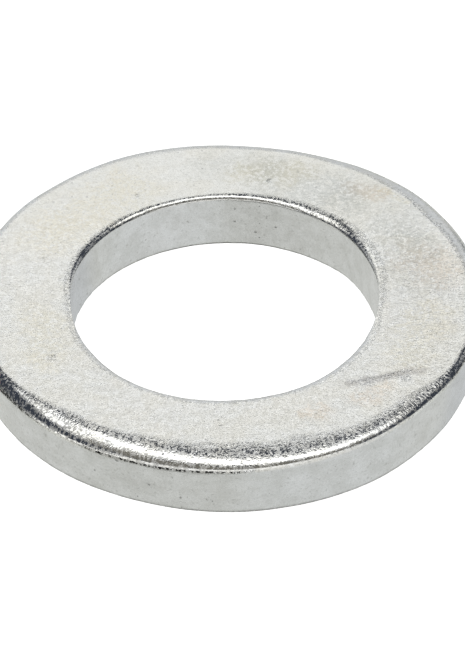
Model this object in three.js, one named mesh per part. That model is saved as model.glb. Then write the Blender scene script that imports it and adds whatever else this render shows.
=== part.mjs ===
// A heavy flat washer: one flat steel ring, blanked from plate and then zinc plated.
// Millimetres, +Z up. The origin is the centre of the face that the washer lies on.
//
// The punch rolls over the two upper edges of the ring and leaves the two lower ones nearly sharp,
// so the upper face is a little narrower than the lower one and the washer has a right way up.

import * as THREE from "three";

// Driving dimensions.
const BORE_DIAMETER = 21; // clears an M20 bolt by 1 mm
const OUTER_DIAMETER = 34;
const THICKNESS = 4;

// Each edge is a quarter of an ellipse: its width is along the face, its depth is along the wall.
const RIM_ROLL = { width: OUTER_DIAMETER / 20, depth: THICKNESS / 8, steps: 8 };
const BORE_ROLL = { width: OUTER_DIAMETER / 50, depth: THICKNESS / 14, steps: 5 };
const LOWER_BREAK = { width: 0.12, depth: 0.12, steps: 2 };

const FACETS = 120; // flat strips round the ring

const ZINC_PLATED_STEEL = new THREE.MeshStandardMaterial({
  color: 0xd8d8d2,
  metalness: 1,
  roughness: 0.35,
});

// One edge of the ring's section, as points of (radius, height) from the wall round to the face.
// across and along are 1 or -1: which way the metal lies from the corner, by radius and by height.
function wallToFace({ width, depth, steps }, wallRadius, faceHeight, across, along) {
  const points = [];
  for (let i = 0; i <= steps; i += 1) {
    const turn = (i / steps) * (Math.PI / 2);
    const radius = wallRadius + across * width * (1 - Math.cos(turn));
    const height = faceHeight + along * depth * (1 - Math.sin(turn));
    points.push(new THREE.Vector2(radius, height));
  }
  return points;
}

// The ring's section is one closed outline: up the rim, across the upper face and down the bore.
function ringSection() {
  const rim = OUTER_DIAMETER / 2;
  const bore = BORE_DIAMETER / 2;
  const outline = [
    ...wallToFace(LOWER_BREAK, rim, 0, -1, 1).reverse(),
    ...wallToFace(RIM_ROLL, rim, THICKNESS, -1, -1),
    ...wallToFace(BORE_ROLL, bore, THICKNESS, 1, -1).reverse(),
    ...wallToFace(LOWER_BREAK, bore, 0, 1, 1),
  ];
  outline.push(outline[0].clone());
  return outline;
}

// LatheGeometry turns the section about Y, and the mesh is then tipped up so that its axis is Z.
function washerRing() {
  const geometry = new THREE.LatheGeometry(ringSection(), FACETS);
  const ring = new THREE.Mesh(geometry, ZINC_PLATED_STEEL);
  ring.name = "washer_ring";
  ring.rotation.x = Math.PI / 2;
  return ring;
}

const washer = new THREE.Group();
washer.name = "flat_washer";
washer.add(washerRing());

export default washer;
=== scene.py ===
"""Looks of a heavy flat washer: bright zinc plate on blanked steel, lying on a white table.

Metres in the CAD frame: +Z up, the lower face on z = 0 and the axis of the hole on Z.
The camera is on the -Y side, so "near" is -Y, "far" is +Y and "right" is +X.
Angles round the ring run from +X towards +Y.
"""

import math
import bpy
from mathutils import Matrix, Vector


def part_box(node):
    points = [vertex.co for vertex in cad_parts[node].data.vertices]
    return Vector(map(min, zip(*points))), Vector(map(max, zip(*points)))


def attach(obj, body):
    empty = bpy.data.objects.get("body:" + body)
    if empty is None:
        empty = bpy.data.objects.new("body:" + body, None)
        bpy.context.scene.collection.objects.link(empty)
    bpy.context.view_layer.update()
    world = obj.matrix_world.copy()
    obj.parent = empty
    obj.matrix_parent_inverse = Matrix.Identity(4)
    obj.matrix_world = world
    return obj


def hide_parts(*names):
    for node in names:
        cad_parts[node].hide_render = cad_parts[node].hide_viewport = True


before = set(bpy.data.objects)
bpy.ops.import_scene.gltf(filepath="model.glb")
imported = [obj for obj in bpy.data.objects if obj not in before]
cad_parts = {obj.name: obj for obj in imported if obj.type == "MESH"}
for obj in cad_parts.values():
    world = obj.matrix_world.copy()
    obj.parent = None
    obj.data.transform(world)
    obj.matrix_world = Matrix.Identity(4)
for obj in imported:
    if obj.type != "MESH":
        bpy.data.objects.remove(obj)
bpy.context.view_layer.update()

from types import SimpleNamespace

import bpy
import numpy as np
from mathutils import Matrix, Vector, noise

MM = 0.001

# The ring's size comes from the CAD model.
RING_LOW, RING_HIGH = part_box("washer_ring")
RIM = (RING_HIGH.x - RING_LOW.x) / 2
THICKNESS = RING_HIGH.z - RING_LOW.z
BORE = min(math.hypot(v.co.x, v.co.y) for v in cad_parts["washer_ring"].data.vertices)
TOP_MM = THICKNESS / MM
RIM_MM = RIM / MM


# ---------------------------------------------------------------- node graphs

class Graph:
    """Adds nodes to a node tree. An input is a number, a tuple or another node's output."""

    def __init__(self, tree):
        self.tree = tree

    def add(self, kind, inputs=None, output=0, **settings):
        node = self.tree.nodes.new(kind)
        for name, value in settings.items():
            setattr(node, name, value)
        for key, value in (inputs or {}).items():
            if isinstance(value, bpy.types.NodeSocket):
                self.tree.links.new(value, node.inputs[key])
            else:
                node.inputs[key].default_value = value
        return node.outputs[output] if len(node.outputs) else None

    def math(self, operation, *values, clamp=False):
        inputs = dict(enumerate(values))
        return self.add("ShaderNodeMath", inputs, operation=operation, use_clamp=clamp)

    def times(self, first, *others):
        """The product of all the values."""
        for value in others:
            first = self.math("MULTIPLY", first, value)
        return first

    def plus(self, first, *others):
        """The sum of all the values."""
        for value in others:
            first = self.math("ADD", first, value)
        return first

    def vector(self, operation, *values, output=0):
        inputs = dict(enumerate(values))
        return self.add("ShaderNodeVectorMath", inputs, output, operation=operation)

    def dot(self, first, second):
        return self.vector("DOT_PRODUCT", first, second, output="Value")

    def scale(self, vector, *factors):
        return self.vector("MULTIPLY", vector, factors)

    def parts(self, vector):
        """The x, y and z of a vector."""
        return self.add("ShaderNodeSeparateXYZ", {0: vector}).node.outputs

    def step(self, value, start, end, low=0.0, high=1.0):
        """low up to start, high from end on, and a smooth rise between."""
        inputs = {0: value, 1: start, 2: end, 3: low, 4: high}
        return self.add("ShaderNodeMapRange", inputs, interpolation_type="SMOOTHSTEP")

    def between(self, mask, off, on):
        """off where the mask is 0, and on where it is 1."""
        return self.step(mask, 0.0, 1.0, off, on)

    def mix(self, factor, a, b, blend="MIX"):
        """A colour from a, at factor 0, to b, at factor 1."""
        inputs = {0: factor, 6: a, 7: b}
        return self.add("ShaderNodeMix", inputs, 2, data_type="RGBA", blend_type=blend)

    def tint(self, amount, colour, tint):
        """The colour, multiplied by the tint as far as the amount says."""
        return self.mix(amount, colour, self.mix(1.0, colour, (*tint, 1), blend="MULTIPLY"))

    def noise(self, vector, scale, detail=2.0, rough=0.5, output=0):
        inputs = {"Vector": vector, "Scale": scale, "Detail": detail, "Roughness": rough}
        return self.add("ShaderNodeTexNoise", inputs, output)


# ---------------------------------------------------------------- camera

CAMERA_DISTANCE = 0.3093
CAMERA_ELEVATION = math.radians(39.035)
CAMERA_ROLL = math.radians(-1.289)
LENS_MM = 259.4
SENSOR_MM = 36
AIM_RIGHT = 0.345 * MM
AIM_UP = -0.26 * MM


def make_camera():
    """The camera looks from the near side at the middle of the ring, a little rolled."""
    centre = Vector((0, 0, THICKNESS / 2))
    back = Vector((0, -math.cos(CAMERA_ELEVATION), math.sin(CAMERA_ELEVATION)))
    up = Vector((0, math.sin(CAMERA_ELEVATION), math.cos(CAMERA_ELEVATION)))
    place = centre + back * CAMERA_DISTANCE
    aim = centre + Vector((AIM_RIGHT, 0, 0)) + up * AIM_UP
    data = bpy.data.cameras.new("camera")
    data.lens = LENS_MM
    data.sensor_width = SENSOR_MM
    data.clip_start = 0.01
    data.clip_end = 10
    camera = bpy.data.objects.new("camera", data)
    turn = (aim - place).to_track_quat("-Z", "Y").to_matrix() @ Matrix.Rotation(CAMERA_ROLL, 3, "Z")
    camera.matrix_world = Matrix.Translation(place) @ turn.to_4x4()
    bpy.context.scene.collection.objects.link(camera)
    bpy.context.scene.camera = camera


# ---------------------------------------------------------------- studio

DARK_STUDIO = (0.045, 0.052, 0.070)
WHITE = (1.0, 1.0, 1.0)

# The table, which the walls mirror: brightest and coolest towards the near right, and dark
# in the washer's own shade. The pairs say where each change starts and ends, as the part of
# a ray of length 1 that points that way.
TABLE_DIM = (0.695, 0.705, 0.682)
TABLE_BRIGHT = (0.715, 0.735, 0.732)
TABLE_BRIGHT_SIDE = (0.77, -0.64, 0.0)
TABLE_BRIGHT_FROM = (0.35, 0.75)
TABLE_SHADE = (0.10, 0.10, 0.10)
TABLE_SHADE_FROM = (-0.86, -0.93)
HORIZON = (-0.02, -0.10)

# A panel is cut off where the ray runs almost along its plane.
LEAST_AHEAD = 0.02

# Soft boxes and screens, as (azimuth, elevation, half width, half height, edge, strength, colour).
# Azimuth 0 is far and 90 is right, in degrees. The sizes are shares of the distance to the
# panel, so 1 is 45 degrees from its middle. A later panel covers an earlier one.
PANELS = [
    # Pale screens low behind the ring, at the left, at the right and in the middle.
    (-41, 19, 0.20, 0.17, 0.05, 0.80, (0.96, 0.98, 1.0)),
    (38, 19, 0.24, 0.20, 0.08, 0.80, (0.96, 0.98, 1.0)),
    (-2, 14, 0.50, 0.30, 0.08, 0.71, (0.93, 0.955, 1.0)),
    # The soft box that the upper face mirrors for the camera.
    (-8, 39.2, 0.38, 0.16, 0.05, 1.14, (1.0, 1.0, 0.99)),
    # Black flags at the left and the right.
    (-72, -15, 0.42, 0.22, 0.05, 0.04, WHITE),
    (66, -15, 0.24, 0.22, 0.05, 0.04, WHITE),
    # Soft boxes overhead, at the upper right and at the upper left, for the rolled edges.
    (0, 76, 0.46, 0.165, 0.03, 1.8, WHITE),
    (55, 67, 0.21, 0.155, 0.04, 1.5, WHITE),
    (-89, 56, 0.25, 0.20, 0.07, 1.5, WHITE),
    # A dim warm ceiling and a bright wall behind the camera.
    (180, 69, 0.90, 0.34, 0.06, 0.19, (1.0, 0.96, 0.88)),
    (180, 16, 1.20, 0.54, 0.05, 0.98, WHITE),
    # A bright strip and a black flag at the near left.
    (-120, -6, 0.42, 0.18, 0.04, 1.20, WHITE),
    (-150, -18, 0.66, 0.21, 0.02, 0.02, WHITE),
    # Bright and dim parts of the table, at the near right and the far right.
    (135, -22, 0.70, 0.20, 0.10, 0.8, WHITE),
    (30, -40, 0.40, 0.40, 0.20, 0.63, (0.97, 1.0, 1.02)),
]


def direction(azimuth, elevation):
    """A unit vector. Azimuth 0 is far (+Y) and 90 is right (+X), in degrees."""
    a = math.radians(azimuth)
    e = math.radians(elevation)
    return Vector((math.sin(a) * math.cos(e), math.cos(a) * math.cos(e), math.sin(e)))


def panel_mask(g, ray, azimuth, elevation, half_width, half_height, edge):
    """1 on the panel and 0 off it, by where the ray meets the panel's plane."""
    facing = direction(azimuth, elevation)
    right = direction(azimuth + 90, 0)
    up = right.cross(facing)
    ahead = g.dot(ray, tuple(facing))
    mask = g.step(ahead, 0.0, LEAST_AHEAD)
    for axis, half in ((right, half_width), (up, half_height)):
        offset = g.dot(ray, tuple(axis))
        share = g.math("ABSOLUTE", g.math("DIVIDE", offset, g.math("MAXIMUM", ahead, LEAST_AHEAD)))
        side = g.step(share, half - edge, half + edge, 1.0, 0.0)
        mask = g.times(mask, side)
    return mask


def make_world():
    world = bpy.data.worlds.new("studio")
    world.use_nodes = True
    tree = world.node_tree
    tree.nodes.clear()
    g = Graph(tree)
    ray = g.add("ShaderNodeTexCoord", output="Generated")
    height = g.parts(ray)["Z"]
    bright = g.step(g.dot(ray, TABLE_BRIGHT_SIDE), *TABLE_BRIGHT_FROM)
    table = g.mix(bright, (*TABLE_DIM, 1), (*TABLE_BRIGHT, 1))
    light = g.mix(g.step(height, *HORIZON), (*DARK_STUDIO, 1), table)
    for *place, strength, colour in PANELS:
        shine = tuple(strength * c for c in colour)
        light = g.mix(panel_mask(g, ray, *place), light, (*shine, 1))
    light = g.mix(g.step(height, *TABLE_SHADE_FROM), light, (*TABLE_SHADE, 1))
    background = g.add("ShaderNodeBackground", {"Color": light, "Strength": 1.0})
    g.add("ShaderNodeOutputWorld", {"Surface": background})
    bpy.context.scene.world = world


COVE_RADIUS = 1.5
COVE_BEND = 0.4
COVE_HEIGHT = 1.1
COVE_SIDES = 96
COVE_BEND_STEPS = 12
COVE_WHITE = 0.8
COVE_ROUGHNESS = 0.9
COVE_GLOW = 0.95


def white_table():
    material = bpy.data.materials.new("white_table")
    material.use_nodes = True
    shader = material.node_tree.nodes["Principled BSDF"]
    shader.inputs["Base Color"].default_value = (COVE_WHITE, COVE_WHITE, COVE_WHITE, 1)
    shader.inputs["Roughness"].default_value = COVE_ROUGHNESS
    shader.inputs["Emission Color"].default_value = (*WHITE, 1)
    shader.inputs["Emission Strength"].default_value = COVE_GLOW
    return material


def make_cove():
    """A white table that bends up into a white wall all round, so no view has a horizon."""
    bend = [i / COVE_BEND_STEPS * math.pi / 2 for i in range(COVE_BEND_STEPS + 1)]
    flat = COVE_RADIUS - COVE_BEND
    outline = [(0.0, 0.0)]
    outline += [(flat + COVE_BEND * math.sin(a), COVE_BEND * (1 - math.cos(a))) for a in bend]
    outline.append((COVE_RADIUS, COVE_HEIGHT))
    turns = [i / COVE_SIDES * math.tau for i in range(COVE_SIDES)]
    verts = [(r * math.cos(turn), r * math.sin(turn), z) for r, z in outline for turn in turns]
    faces = []
    for row in range(len(outline) - 1):
        inner = row * COVE_SIDES
        outer = inner + COVE_SIDES
        for i in range(COVE_SIDES):
            j = (i + 1) % COVE_SIDES
            faces.append((inner + i, outer + i, outer + j, inner + j))
    mesh = bpy.data.meshes.new("white_cove")
    mesh.from_pydata(verts, [], faces)
    mesh.polygons.foreach_set("use_smooth", [True] * len(faces))
    mesh.materials.append(white_table())
    cove = bpy.data.objects.new("white_cove", mesh)
    bpy.context.scene.collection.objects.link(cove)
    cove.visible_glossy = False
    cove.visible_diffuse = False
    cove.visible_shadow = False


# ---------------------------------------------------------------- the ring's mesh

AROUND = 720
THETA = np.arange(AROUND) / AROUND * math.tau

# How many points of the section lie on each of its stretches.
FOOT_STEPS = 4
RIM_WALL_STEPS = 20
RIM_ROLL_STEPS = 24
UPPER_FACE_STEPS = 38
BORE_ROLL_STEPS = 16
BORE_WALL_STEPS = 22
LOWER_FACE_STEPS = 8


def waves(*terms):
    """A sum of cosines round the ring, from (crests, size, angle of a crest in degrees)."""
    return sum(size * np.cos(count * (THETA - math.radians(crest))) for count, size, crest in terms)


def bulges(*terms):
    """A sum of rounded bulges round the ring, from (angle, half width, size), in degrees."""
    total = np.zeros(AROUND)
    for angle, width, size in terms:
        gap = (np.degrees(THETA) - angle + 180) % 360 - 180
        total += size * np.exp(-((gap / width) ** 2))
    return total


def ripple(seed, period, size):
    """Smooth noise round the ring, the same every run. The period is in metres of rim."""
    loop = RIM / period
    values = [noise.noise((math.cos(a) * loop, math.sin(a) * loop, seed)) for a in THETA]
    return size * np.array(values)


# The blank is a little out of round, and the hole is a little oval and off centre.
RIM_LINE = RIM + waves((3, 0.010 * RIM, 37.5)) + ripple(1, 3.0 * MM, 0.020 * MM)
RIM_LINE += MM * bulges((22, 9, 0.07), (43, 13, 0.16), (77, 10, -0.11), (114, 14, 0.22), (145, 14, 0.06))
RIM_LINE += MM * bulges((204, 7, -0.08), (229, 12, 0.10), (272, 12, 0.08), (299, 16, 0.14), (338, 8, -0.10))
BORE_LINE = BORE + waves((2, 0.017 * BORE, 90)) + ripple(2, 2.0 * MM, 0.015 * MM)
BORE_LINE += MM * bulges((38, 12, 0.14), (98, 32, -0.12), (184, 20, -0.19), (214, 12, -0.10), (300, 14, 0.08))
HOLE_OFFSET = Vector((-0.22, 0.06)) * MM

# The press rolled the upper edges over unevenly. The rim's roll is widest at the near side
# and the far right, and deepest at the near left and the far right.
RIM_ROLL_WIDTH = MM * (0.4 + bulges((35, 30, 1.0), (110, 50, 0.3), (228, 12, 0.5)))
RIM_ROLL_WIDTH += MM * bulges((272, 38, 2.0), (317, 10, 0.3), (338, 14, -0.12))
RIM_ROLL_WIDTH *= 1 + ripple(3, 2.5 * MM, 0.10)
RIM_ROLL_DEPTH = MM * (0.49 + waves((1, 0.17, -75), (2, 0.28, 32)) + bulges((336, 11, -0.22)))
BORE_ROLL_WIDTH = MM * (0.68 + bulges((42, 28, 0.42), (100, 30, -0.12))) + ripple(4, 2.0 * MM, 0.08 * MM)
BORE_ROLL_DEPTH = MM * (0.24 + bulges((37, 25, 0.17), (153, 16, 0.03), (186, 20, -0.22), (354, 17, -0.27)))
BORE_ROLL_DEPTH += ripple(8, 1.3 * MM, 0.03 * MM)
RIM_LEAST_DEPTH = 0.13 * MM
BORE_LEAST_DEPTH = 0.04 * MM

# At the left and the right of the near half, the rim flares outwards from its foot to its roll.
RIM_FLARE = MM * bulges((205, 13, 0.28), (335, 12, 0.25))

# The breaks of the lower edges, as (width, depth).
RIM_FOOT = (0.07 * MM, 0.09 * MM + ripple(5, 1.2 * MM, 0.05 * MM))
BORE_FOOT = (0.10 * MM, 0.17 * MM + ripple(6, 0.9 * MM, 0.12 * MM))

# Under the rolled edge, the rim leans inwards over a short shoulder before it is upright.
SHOULDER_HEIGHT = 0.26 * MM
SHOULDER_LEAN = 0.30 + ripple(7, 2.0 * MM, 0.08)

# A faint unevenness everywhere, as (period, depth).
UNEVENNESS = [(2.6 * MM, 0.012 * MM), (0.9 * MM, 0.004 * MM)]

# Dents, as (angle, distance, height, radius, depth), and scratches, as (start, end, radius,
# depth) with each end as (angle, distance, height). Angles in degrees and lengths in mm.
DENTS = [
    (322, 14.6, TOP_MM, 0.22, 0.05),
    (208, 13.0, TOP_MM, 0.25, 0.04),
    (118, 12.6, TOP_MM, 0.20, 0.04),
    (76, 12.8, TOP_MM, 0.22, 0.04),
    (252, RIM_MM, 2.1, 0.60, 0.03),
    (300, RIM_MM, 1.2, 0.70, 0.03),
    (106, 10.4, 1.6, 0.28, 0.05),
    (84, 10.4, 2.2, 0.30, 0.05),
    (128, 10.4, 0.7, 0.25, 0.05),
]
SCRATCHES = [
    ((309, 12.3, TOP_MM), (327, 15.0, TOP_MM), 0.30, 0.030),
    ((46, 15.7, TOP_MM), (37, 15.7, TOP_MM), 0.22, 0.020),
    ((308, RIM_MM, 2.6), (313, RIM_MM, 1.4), 0.14, 0.020),
    ((310, RIM_MM, 2.7), (315, RIM_MM, 1.8), 0.12, 0.015),
]
SCRATCH_ENDS = (0.06, 0.94)


def quarter(wall, face, across, along, width, depth, steps):
    """A quarter ellipse from the wall to the face, as radius and height for each angle.

    The face lies across from the wall (1 outwards, -1 inwards), and the wall runs along from
    the face (1 up, -1 down).
    """
    turn = np.linspace(0, math.pi / 2, steps)[None, :]
    wall, width, depth = (np.broadcast_to(a, (AROUND,))[:, None] for a in (wall, width, depth))
    radius = wall + across * width * (1 - np.cos(turn))
    height = face + along * depth * (1 - np.sin(turn))
    return radius, height


def reverse(line):
    """The same stretch of the section, run through the other way."""
    return [a[:, ::-1] for a in line]


def lean(height, start):
    """How far the rim leans inwards at a height: gently from the start up, and then straight."""
    rise = np.maximum(height - start, 0)
    bend = np.minimum(rise, SHOULDER_HEIGHT)
    return SHOULDER_LEAN[:, None] * (bend ** 2 / (2 * SHOULDER_HEIGHT) + (rise - bend))


def straight(start, end, steps):
    """Points between the last point of one piece of the section and the first of the next."""
    share = np.arange(1, steps + 1)[None, :] / (steps + 1)
    return start[:, None] + (end - start)[:, None] * share


def ring_section():
    """The ring's section at every angle: arrays of radius and height, angle by angle."""
    rim_depth = np.maximum(RIM_ROLL_DEPTH, RIM_LEAST_DEPTH)
    bore_depth = np.maximum(BORE_ROLL_DEPTH, BORE_LEAST_DEPTH)
    rim_top_line = RIM_LINE + RIM_FLARE
    rim_foot = quarter(RIM_LINE, 0, -1, 1, *RIM_FOOT, FOOT_STEPS)
    rim_top = quarter(rim_top_line, THICKNESS, -1, -1, RIM_ROLL_WIDTH, rim_depth, RIM_ROLL_STEPS)
    bore_top = quarter(BORE_LINE, THICKNESS, 1, -1, BORE_ROLL_WIDTH, bore_depth, BORE_ROLL_STEPS)
    bore_foot = quarter(BORE_LINE, 0, 1, 1, *BORE_FOOT, FOOT_STEPS)
    corners = [reverse(rim_foot), rim_top, reverse(bore_top), bore_foot]
    between = [RIM_WALL_STEPS, UPPER_FACE_STEPS, BORE_WALL_STEPS, LOWER_FACE_STEPS]
    radius, height = [], []
    for i, (r, z) in enumerate(corners):
        next_r, next_z = corners[(i + 1) % len(corners)]
        radius += [r, straight(r[:, -1], next_r[:, 0], between[i])]
        height += [z, straight(z[:, -1], next_z[:, 0], between[i])]
    radius, height = np.hstack(radius), np.hstack(height)
    shoulder = (THICKNESS - rim_depth - SHOULDER_HEIGHT)[:, None]
    outer = np.clip((radius - BORE) / (RIM - BORE), 0, 1)
    return radius - outer * lean(height, shoulder), height


def in_space(radius, height):
    """Points in metres. The hole's centre is a little off the rim's."""
    inward = np.clip((RIM - radius) / (RIM - BORE), 0, 1)
    x = radius * np.cos(THETA)[:, None] + inward * HOLE_OFFSET.x
    y = radius * np.sin(THETA)[:, None] + inward * HOLE_OFFSET.y
    return np.stack([x, y, height], -1)


def polar(angle, distance, height):
    """A point in metres, from degrees and mm."""
    a = math.radians(angle)
    return np.array((distance * math.cos(a), distance * math.sin(a), height)) * MM


def hollow(points, middle, radius):
    """The shape of a dent: 1 in the middle, and fading out a little past its radius in mm."""
    reach = np.linalg.norm(points - middle, axis=1) / (radius * MM)
    return np.exp(-2 * reach ** 2)


def relief(points):
    """How far each point is pressed into the metal: unevenness, dents and scratches."""
    flat = points.reshape(-1, 3)
    depth = np.zeros(len(flat))
    for period, size in UNEVENNESS:
        depth += size * np.array([noise.noise(p) for p in flat / period])
    for angle, distance, height, radius, deep in DENTS:
        depth += deep * MM * hollow(flat, polar(angle, distance, height), radius)
    for start, end, radius, deep in SCRATCHES:
        first = polar(*start)
        line = polar(*end) - first
        share = np.clip((flat - first) @ line / (line @ line), 0, 1)
        fade = np.sin(math.pi * np.clip(share, *SCRATCH_ENDS))
        depth += deep * MM * fade * hollow(flat, first + share[:, None] * line, radius)
    return depth.reshape(points.shape[:2])


def grid_faces(rows, columns):
    """Four-sided faces of a grid that closes on itself both ways."""
    i = np.arange(rows)[:, None]
    j = np.arange(columns)[None, :]
    next_i = (i + 1) % rows
    next_j = (j + 1) % columns
    here = i * columns + j
    up = i * columns + next_j
    beside = next_i * columns + j
    corner = next_i * columns + next_j
    return np.stack([here, beside, corner, up], -1).reshape(-1, 4)


def make_ring():
    """The ring, with each point's distance along the section in mm, for the material."""
    radius, height = ring_section()
    step_r = np.roll(radius, -1, axis=1) - np.roll(radius, 1, axis=1)
    step_z = np.roll(height, -1, axis=1) - np.roll(height, 1, axis=1)
    step = np.hypot(step_r, step_z)
    depth = relief(in_space(radius, height))
    points = in_space(radius - depth * step_z / step, height + depth * step_r / step)
    points[..., 2] = np.clip(points[..., 2], 0, THICKNESS)
    along = np.cumsum(step, axis=1) / 2
    faces = grid_faces(*radius.shape)

    mesh = bpy.data.meshes.new("zinc_plated_ring")
    mesh.from_pydata(points.reshape(-1, 3).tolist(), [], faces.tolist())
    mesh.polygons.foreach_set("use_smooth", [True] * len(faces))
    attribute = mesh.attributes.new("along_mm", "FLOAT", "POINT")
    attribute.data.foreach_set("value", (along / MM).astype(np.float32).ravel())
    ring = bpy.data.objects.new("zinc_plated_ring", mesh)
    bpy.context.scene.collection.objects.link(ring)
    return ring


# ---------------------------------------------------------------- zinc plate

PER_MM = 1 / MM

# The face is ivory and the walls are steel grey, each between a deep and a pale shade. The
# tints multiply them in places, one of them a painted shade on the far side of the face, and the pits and the
# painted shade along the lower edges cover them.
IVORY_DEEP = (0.80, 0.805, 0.775, 1)
IVORY_PALE = (0.965, 0.97, 0.95, 1)
IVORY_MOTTLE = (0.91, 0.905, 0.89)
IVORY_WARM = (1.0, 0.99, 0.97)
# Painted shade for the far side of the face.
IVORY_FAR_SHADE = (0.925, 0.925, 0.92)
STEEL_DEEP = (0.715, 0.717, 0.70, 1)
STEEL_PALE = (0.83, 0.835, 0.83, 1)
STEEL_GRAIN = (0.94, 0.94, 0.94)
PIT = (0.40, 0.40, 0.38, 1)
# Painted shade along the lower edges, where the ring meets the table.
LOWER_EDGE_SHADE = (0.30, 0.30, 0.29, 1)

# The noises, as (scale per mm, detail, roughness).
GRAIN = (8.5, 2.0, 0.6)
COARSE = (5.0, 1.0, 0.5)
MOTTLE = (2.2, 3.0, 0.65)
PATCHES = (0.45, 2.0, 0.5)
PATCH_WOBBLE = (0.8, 4.0, 0.7)
PATCH_CLUSTER = (3.2, 3.0, 0.75)

# Hairs and smears follow the surface. Their scales are (cells per radian round the ring,
# cells per mm along the section), and their noises are (detail, roughness).
HAIR_SCALES = (95, 3.0)
HAIRS = (2.0, 0.6)
SMEAR_SCALES = (9, 0.8)
SMEARS = (5.0, 0.7)

# Pits, as (cells per mm, share of the cells with a pit, size as a share of a cell).
TOP_PITS = (1.8, 0.40, 0.20)
WALL_PITS = (1.5, 0.30, 0.22)

# Roughness. The walls and the dull grains add theirs to that of the edges.
EDGE_ROUGHNESS = 0.09
FACE_ROUGHNESS = 0.25
WALL_ROUGHNESS = 0.14
GRAIN_ROUGHNESS = 0.36

# The tilt is the sine of the angle between the surface and the face. The overhead soft boxes
# are mirrored at this tilt.
BRIGHT_BAND_TILT = 0.30

# The heights of the patterns in mm, as (on the rolled edges, on the faces), and the share of
# the height on the edges that is left on the walls.
HAIR_HEIGHT = (0.020, 0.008)
GRAIN_HEIGHT = (0.011, 0.012)
COARSE_HEIGHT = (0.015, 0.004)
HAIR_ON_WALLS = 0.10
GRAIN_ON_WALLS = 0.12
COARSE_ON_WALLS = 0.10
MOTTLE_HEIGHT = 0.006
SMEAR_HEIGHT = 0.012
PIT_DEPTH = 0.012

# Stains on the upper face, and grey patches of painted shade on it, as (start, end, radius,
# tint), with each end as (angle, distance from the axis). Angles in degrees and lengths in mm.
CREAM = (0.985, 0.962, 0.90)
PINK = (0.99, 0.935, 0.885)
# The next two tints are painted shade, for the greyer far right of the face.
GREY_SHADE = (0.83, 0.84, 0.84)
PALE_GREY_SHADE = (0.89, 0.895, 0.89)
# Partly a real smudge and partly painted shade in the scratch's groove.
SMUDGE_AND_SHADE = (0.76, 0.75, 0.76)
STAINS_AND_SHADES = [
    # This patch and the next four are painted shade, darkening the far right of the face.
    ((74, 13.4), (54, 13.6), 2.4, GREY_SHADE),
    ((94, 14.2), (80, 14.4), 1.6, PALE_GREY_SHADE),
    ((48, 13.4), (34, 13.6), 2.4, PALE_GREY_SHADE),
    ((24, 12.8), (6, 12.8), 2.2, PALE_GREY_SHADE),
    ((22, 13.9), (16, 14.1), 1.3, PALE_GREY_SHADE),
    ((51, 14.4), (46, 14.9), 0.9, PINK),
    ((46, 15.5), (38, 15.7), 0.35, CREAM),
    ((15, 13.8), (8, 14.3), 1.8, PINK),
    ((84, 13.5), (68, 14.3), 1.3, CREAM),
    ((309, 13.8), (315, 14.1), 0.9, PINK),
    ((350, 13.8), (331, 13.6), 1.8, CREAM),
    ((293, 13.4), (296, 13.6), 0.8, PINK),
    ((190, 12.3), (206, 13.4), 1.6, CREAM),
    ((150, 13.5), (118, 13.5), 2.2, CREAM),
    # A grey smudge along the scratch, partly painted shade in its groove.
    ((309, 12.2), (327, 15.0), 0.42, SMUDGE_AND_SHADE),
]

# A patch's outline is stirred by this share of its radius, up to a limit in mm, and the patch
# fades out at the reach below, as a share of its radius.
PATCH_STIR = 3.0
PATCH_STIR_MOST = 5.0
PATCH_REACH = 1.5


def spot(angle, distance):
    """A point of the upper face in mm, seen from above."""
    a = math.radians(angle)
    return Vector((distance * math.cos(a), distance * math.sin(a), 0))


def stained_and_shaded(g, place, colour):
    """The colour, tinted where the stains and the patches of painted shade lie, as soft clusters of specks.
    """
    wobble = g.noise(place, *PATCH_WOBBLE, output="Color")
    wobble = g.vector("SUBTRACT", wobble, (0.5, 0.5, 0.5))
    cluster = g.step(g.noise(place, *PATCH_CLUSTER), 0.38, 0.60, 0.15, 1.5)
    for start, end, radius, tint in STAINS_AND_SHADES:
        first = spot(*start)
        line = spot(*end) - first
        stir = min(PATCH_STIR * radius, PATCH_STIR_MOST)
        spread = g.vector("ADD", g.scale(place, 1, 1, 0), g.scale(wobble, stir, stir, 0))
        ahead = g.vector("SUBTRACT", spread, tuple(first))
        share = g.dot(ahead, tuple(line / line.length_squared))
        share = g.math("MAXIMUM", g.math("MINIMUM", share, 1.0), 0.0)
        beside = g.add("ShaderNodeVectorMath", {0: tuple(line), "Scale": share}, operation="SCALE")
        reach = g.vector("DISTANCE", ahead, beside, output="Value")
        inside = g.times(g.step(reach, radius * PATCH_REACH, 0.0), cluster)
        colour = g.tint(g.math("MINIMUM", inside, 1.0), colour, tint)
    return colour


def pits(g, place, scale, share, size):
    """1 in the middle of small round pits, and 0 between them."""
    distance = g.add("ShaderNodeTexVoronoi", {"Vector": place, "Scale": scale})
    cell = g.add("ShaderNodeSeparateColor", {0: distance.node.outputs["Color"]}).node.outputs
    chosen = g.math("LESS_THAN", cell[0], share)
    reach = g.times(g.plus(cell[1], 0.3), size)
    inside = g.step(distance, reach, g.times(reach, 0.3))
    return g.times(inside, chosen, g.plus(cell[2], 0.25))


def surface_place(g, outward, run, around, along):
    """A place for a noise that follows the surface, round the ring and along its section."""
    return g.vector("ADD", g.scale(outward, around, around, 0), g.scale(run, 0, 0, along))


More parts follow.
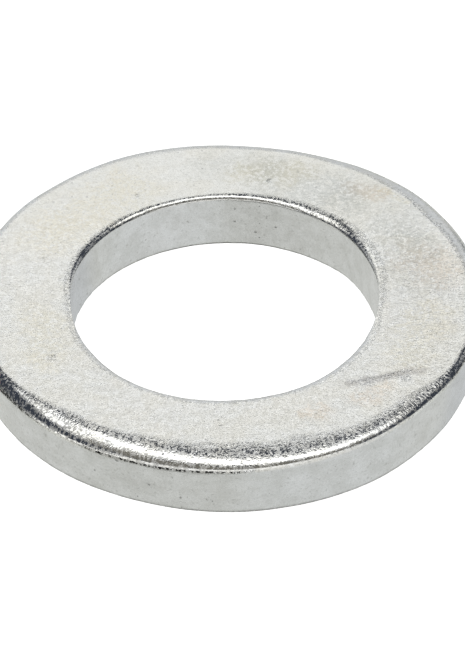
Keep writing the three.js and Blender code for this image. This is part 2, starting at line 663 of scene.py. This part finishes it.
def plate_patterns(g):
    """The places, slopes, noises and masks that the colour, roughness and bump share."""
    p = SimpleNamespace()
    p.place = g.scale(g.add("ShaderNodeTexCoord", output="Object"), PER_MM, PER_MM, PER_MM)
    p.across, p.depth, p.level = g.parts(p.place)
    p.lift = g.parts(g.add("ShaderNodeNewGeometry", output="Normal"))["Z"]
    p.tilt = g.math("SQRT", g.math("SUBTRACT", 1.0, g.times(p.lift, p.lift), clamp=True))
    p.wall = g.step(g.math("ABSOLUTE", p.lift), 0.15, 0.05)

    # The hairs are long along the section, and the smears are broad round the ring.
    outward = g.vector("NORMALIZE", g.scale(p.place, 1, 1, 0))
    run = g.add("ShaderNodeAttribute", output="Fac", attribute_name="along_mm")
    run = g.add("ShaderNodeCombineXYZ", {"Z": run})
    p.hairs = g.noise(surface_place(g, outward, run, *HAIR_SCALES), 1.0, *HAIRS)
    p.smears = g.noise(surface_place(g, outward, run, *SMEAR_SCALES), 1.0, *SMEARS)
    p.grain = g.noise(p.place, *GRAIN)
    p.coarse = g.noise(p.place, *COARSE)
    p.mottle = g.noise(p.place, *MOTTLE)
    p.patches = g.noise(p.place, *PATCHES)
    top_pits = pits(g, p.place, *TOP_PITS)
    wall_pits = g.times(pits(g, p.place, *WALL_PITS), p.wall)
    p.pits = g.math("MAXIMUM", top_pits, wall_pits)

    # The plating is smoother on the far side of the ring.
    p.busy = g.step(p.depth, 2.0, 13.0, 1.1, 0.5)

    # The flat faces are matte. The rolled edges stay bright, with a ragged border that is
    # lower down on the far side.
    ragged = g.times(g.math("SUBTRACT", p.hairs, 0.5), 0.16)
    sunken = g.step(p.depth, 4.0, 9.0, 0.0, -0.06)
    p.flat = g.step(g.plus(p.tilt, ragged, sunken), 0.075, 0.02)
    return p


def plate_colour(g, p):
    """Ivory faces, mottled and stained, with painted shade on the far side, and smeared steel grey walls,
    with pits and painted shade along the lower edges.
    """
    shade = g.step(g.plus(p.grain, g.times(p.hairs, 0.7)), 0.62, 1.08, -0.42, 0.58)
    shade = g.plus(g.times(shade, p.busy), 0.42)
    ivory = g.mix(shade, IVORY_DEEP, IVORY_PALE)
    ivory = g.tint(g.times(g.step(p.mottle, 0.38, 0.62), p.busy), ivory, IVORY_MOTTLE)
    ivory = g.tint(g.step(p.patches, 0.42, 0.60), ivory, IVORY_WARM)
    # Painted shade: the far side of the face is darker.
    ivory = g.tint(g.step(p.depth, 4.0, 12.0), ivory, IVORY_FAR_SHADE)
    ivory = stained_and_shaded(g, p.place, ivory)
    steel = g.mix(g.step(p.smears, 0.33, 0.67), STEEL_DEEP, STEEL_PALE)
    steel = g.tint(g.step(p.grain, 0.60, 0.40), steel, STEEL_GRAIN)
    colour = g.mix(p.wall, ivory, steel)

    # Pits and specks everywhere, and painted shade in patches along the lower corners, where the ring meets
    # the table.
    specks = g.step(p.coarse, 0.61, 0.73)
    dark = g.math("MAXIMUM", g.times(p.pits, 0.45), g.times(specks, 0.30))
    colour = g.mix(dark, colour, PIT)
    low = g.step(p.level, 0.26, 0.03)
    patchy = g.step(p.mottle, 0.30, 0.62, 0.35, 1.0)
    off_underside = g.step(p.lift, -0.98, -0.90)
    return g.mix(g.times(low, patchy, off_underside), colour, LOWER_EDGE_SHADE)


def plate_roughness(g, p):
    """Bright edges dotted with dull grains, and satin faces and walls."""
    grains = g.step(g.plus(p.coarse, g.times(p.hairs, 0.35)), 0.65, 0.75)
    from_band = g.math("ABSOLUTE", g.math("SUBTRACT", p.tilt, BRIGHT_BAND_TILT))
    dull = g.times(
        grains,
        g.between(p.flat, GRAIN_ROUGHNESS, 0.0),
        g.between(p.wall, 1.0, 0.0),
        g.step(from_band, 0.04, 0.10),
    )
    base = g.between(p.flat, EDGE_ROUGHNESS, FACE_ROUGHNESS)
    return g.plus(base, g.times(p.wall, WALL_ROUGHNESS), dull)


def plate_bump(g, p):
    """Hairs, grain and pits as relief. The rolled edge is coarser at the right of the ring."""
    coarser = g.step(p.across, 9.0, 13.0, 1.0, 2.0)
    hair_height = g.times(
        g.between(p.flat, *HAIR_HEIGHT),
        g.step(p.tilt, 0.17, 0.28, 1.0, 0.4),
        coarser,
        g.between(p.wall, 1.0, HAIR_ON_WALLS),
    )
    grain_height = g.times(
        g.between(p.flat, *GRAIN_HEIGHT),
        g.between(p.wall, 1.0, GRAIN_ON_WALLS),
        p.busy,
    )
    coarse_height = g.times(
        g.between(p.flat, *COARSE_HEIGHT),
        g.step(p.tilt, 0.18, 0.28, 1.0, 0.4),
        coarser,
        p.busy,
        g.between(p.wall, 1.0, COARSE_ON_WALLS),
    )
    height = g.plus(
        g.times(p.hairs, hair_height),
        g.times(p.grain, grain_height),
        g.times(p.coarse, coarse_height),
        g.times(p.mottle, MOTTLE_HEIGHT),
        g.times(p.smears, p.wall, SMEAR_HEIGHT),
        g.times(p.pits, -PIT_DEPTH),
    )
    return g.add("ShaderNodeBump", {"Height": height, "Distance": MM, "Strength": 1.0})


def zinc_plate():
    material = bpy.data.materials.new("zinc_plate")
    material.use_nodes = True
    material.node_tree.nodes.clear()
    g = Graph(material.node_tree)
    patterns = plate_patterns(g)
    inputs = {
        "Metallic": 1.0,
        "Base Color": plate_colour(g, patterns),
        "Roughness": plate_roughness(g, patterns),
        "Normal": plate_bump(g, patterns),
    }
    shader = g.add("ShaderNodeBsdfPrincipled", inputs)
    g.add("ShaderNodeOutputMaterial", {"Surface": shader})
    return material


# ---------------------------------------------------------------- the scene

def white_point():
    """The plain display transform, so that a white table is white."""
    view = bpy.context.scene.view_settings
    view.view_transform = "Standard"
    view.look = "None"


make_camera()
make_world()
make_cove()
white_point()
ring = make_ring()
ring.data.materials.append(zinc_plate())
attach(ring, "root")
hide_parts("washer_ring")
